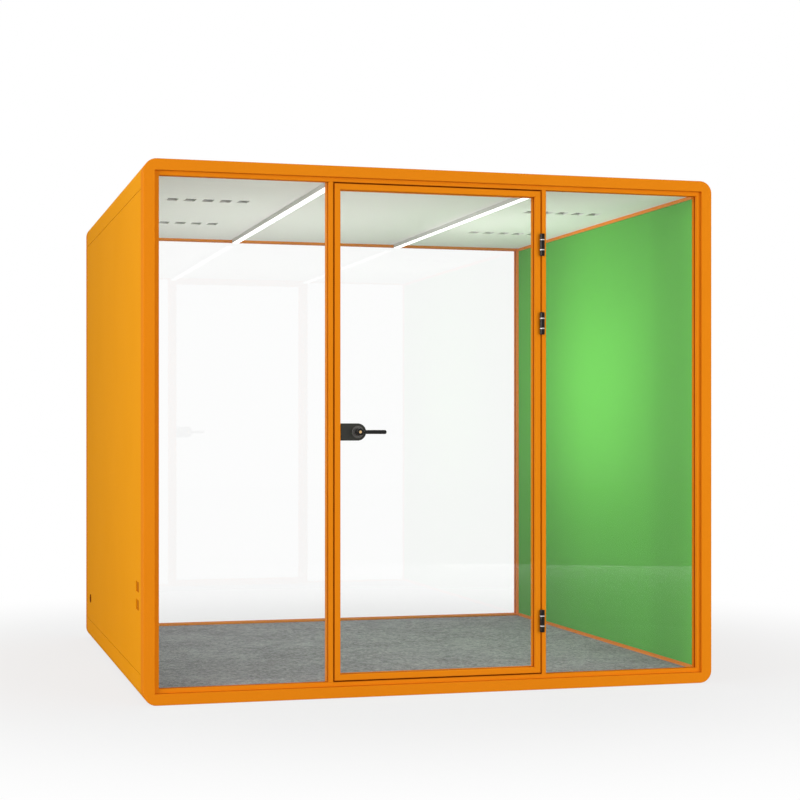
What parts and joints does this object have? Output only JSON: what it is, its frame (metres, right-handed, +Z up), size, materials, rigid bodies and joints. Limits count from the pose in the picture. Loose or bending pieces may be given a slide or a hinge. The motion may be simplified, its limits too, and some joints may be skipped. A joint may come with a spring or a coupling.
{
  "type": "acoustic work pod",
  "caption": "Free-standing acoustic meeting pod with a rounded steel shell, glazed ends, a hinged glass door with a lever lock, felt walls and ceiling lights.",
  "frame": {"origin": "centre of the footprint at floor level", "axes": "+X to the right seen from the front, -Y out of the glazed front with the door, +Z up"},
  "size_m": [2.6033, 2.597, 2.3],
  "materials": {
    "shell_paint": "satin orange powder coat",
    "frame_paint": "satin orange powder coat",
    "clear_glass": "clear, polished",
    "black_rubber": "matte",
    "hinge_gunmetal": "dark satin",
    "lock_black": "satin black",
    "cylinder_brass": "turned",
    "bright_steel": "bright",
    "green_felt": "pressed felt",
    "grey_felt": "pressed felt",
    "mineral_wool": "wool board",
    "ceiling_board": "matte acoustic board",
    "floor_board": "pressed board",
    "carpet_pile": "short loop pile",
    "housing_white": "satin white",
    "diffuser_white": "opal",
    "fan_black": "matte",
    "driver_grey": "satin grey"
  },
  "bodies": {
    "shell": {"front_ring": "frame_paint", "rear_ring": "frame_paint", "rail_top_left": "shell_paint", "rail_top_right": "shell_paint", "rail_bottom_left": "shell_paint", "rail_bottom_right": "shell_paint", "roof_panel": "shell_paint", "left_outer_panel": "shell_paint", "right_outer_panel": "shell_paint", "base_tray": "shell_paint", "floor_core": "mineral_wool", "floor_deck": "floor_board", "carpet": "carpet_pile", "left_wall_core": "mineral_wool", "right_wall_core": "mineral_wool", "roof_core": "mineral_wool", "left_felt_panel": "grey_felt", "right_felt_panel": "green_felt", "left_wall_trim": "frame_paint", "right_wall_trim": "frame_paint", "ceiling_panel": "ceiling_board", "light_housing_left": "housing_white", "light_housing_right": "housing_white", "light_diffuser_left": "diffuser_white", "light_diffuser_right": "diffuser_white", "led_driver": "driver_grey", "fan_frame_left": "fan_black", "fan_frame_right": "fan_black", "cable_grommet": "black_rubber", "mullion_left": "frame_paint", "mullion_right": "frame_paint", "left_glass": "clear_glass", "left_glass_gasket": "black_rubber", "right_glass": "clear_glass", "right_glass_gasket": "black_rubber", "rear_glass": "clear_glass", "rear_glass_gasket": "black_rubber", "door_stop_frame": "frame_paint", "door_seal": "black_rubber", "strike_plate": "bright_steel", "hinge_frame_top": "hinge_gunmetal", "hinge_frame_middle": "hinge_gunmetal", "hinge_frame_bottom": "hinge_gunmetal"},
    "door": {"door_lock_stile": "frame_paint", "door_hinge_stile": "frame_paint", "door_top_rail": "frame_paint", "door_bottom_rail": "frame_paint", "door_glass": "clear_glass", "door_glass_gasket": "black_rubber", "hinge_door_top": "hinge_gunmetal", "hinge_door_middle": "hinge_gunmetal", "hinge_door_bottom": "hinge_gunmetal", "lock_case_outside": "lock_black", "lock_case_inside": "lock_black"},
    "lever_set": {"outside_lever": "lock_black", "inside_lever": "lock_black"},
    "key_core": {"key_cylinder": "cylinder_brass"},
    "latch": {"latch_bolt": "bright_steel"},
    "left_fan": {"fan_rotor_left": "fan_black"},
    "right_fan": {"fan_rotor_right": "fan_black"}
  },
  "joints": [
    {"name": "door_swing", "type": "hinge", "parent": "shell", "child": "door", "pos_m": [0.476, -1.2805, 1.15], "axis": [0, 0, 1], "range_deg": [0, 110]},
    {"name": "lever_turn", "type": "hinge", "parent": "door", "child": "lever_set", "pos_m": [-0.369, -1.2653, 1.15], "axis": [0, 1, 0], "range_deg": [0, 45], "stiffness_Nm_per_rad": 1.5, "springref_deg": -34.38},
    {"name": "key_turn", "type": "hinge", "parent": "lever_set", "child": "key_core", "pos_m": [-0.369, -1.2653, 1.15], "axis": [0, 1, 0], "range_deg": [0, 90]},
    {"name": "latch_slide", "type": "slide", "parent": "door", "child": "latch", "axis": [1, 0, 0], "range_m": [0, 0.0115]},
    {"name": "left_fan_spin", "type": "hinge", "parent": "shell", "child": "left_fan", "pos_m": [-0.891, 0.0185, 2.286], "axis": [0, 0, 1], "continuous": true},
    {"name": "right_fan_spin", "type": "hinge", "parent": "shell", "child": "right_fan", "pos_m": [0.891, 0.0185, 2.286], "axis": [0, 0, 1], "continuous": true}
  ],
  "couplings": [
    {"joint": "latch_slide", "follows": "lever_turn", "m_per_rad": 0.01464}
  ]
}
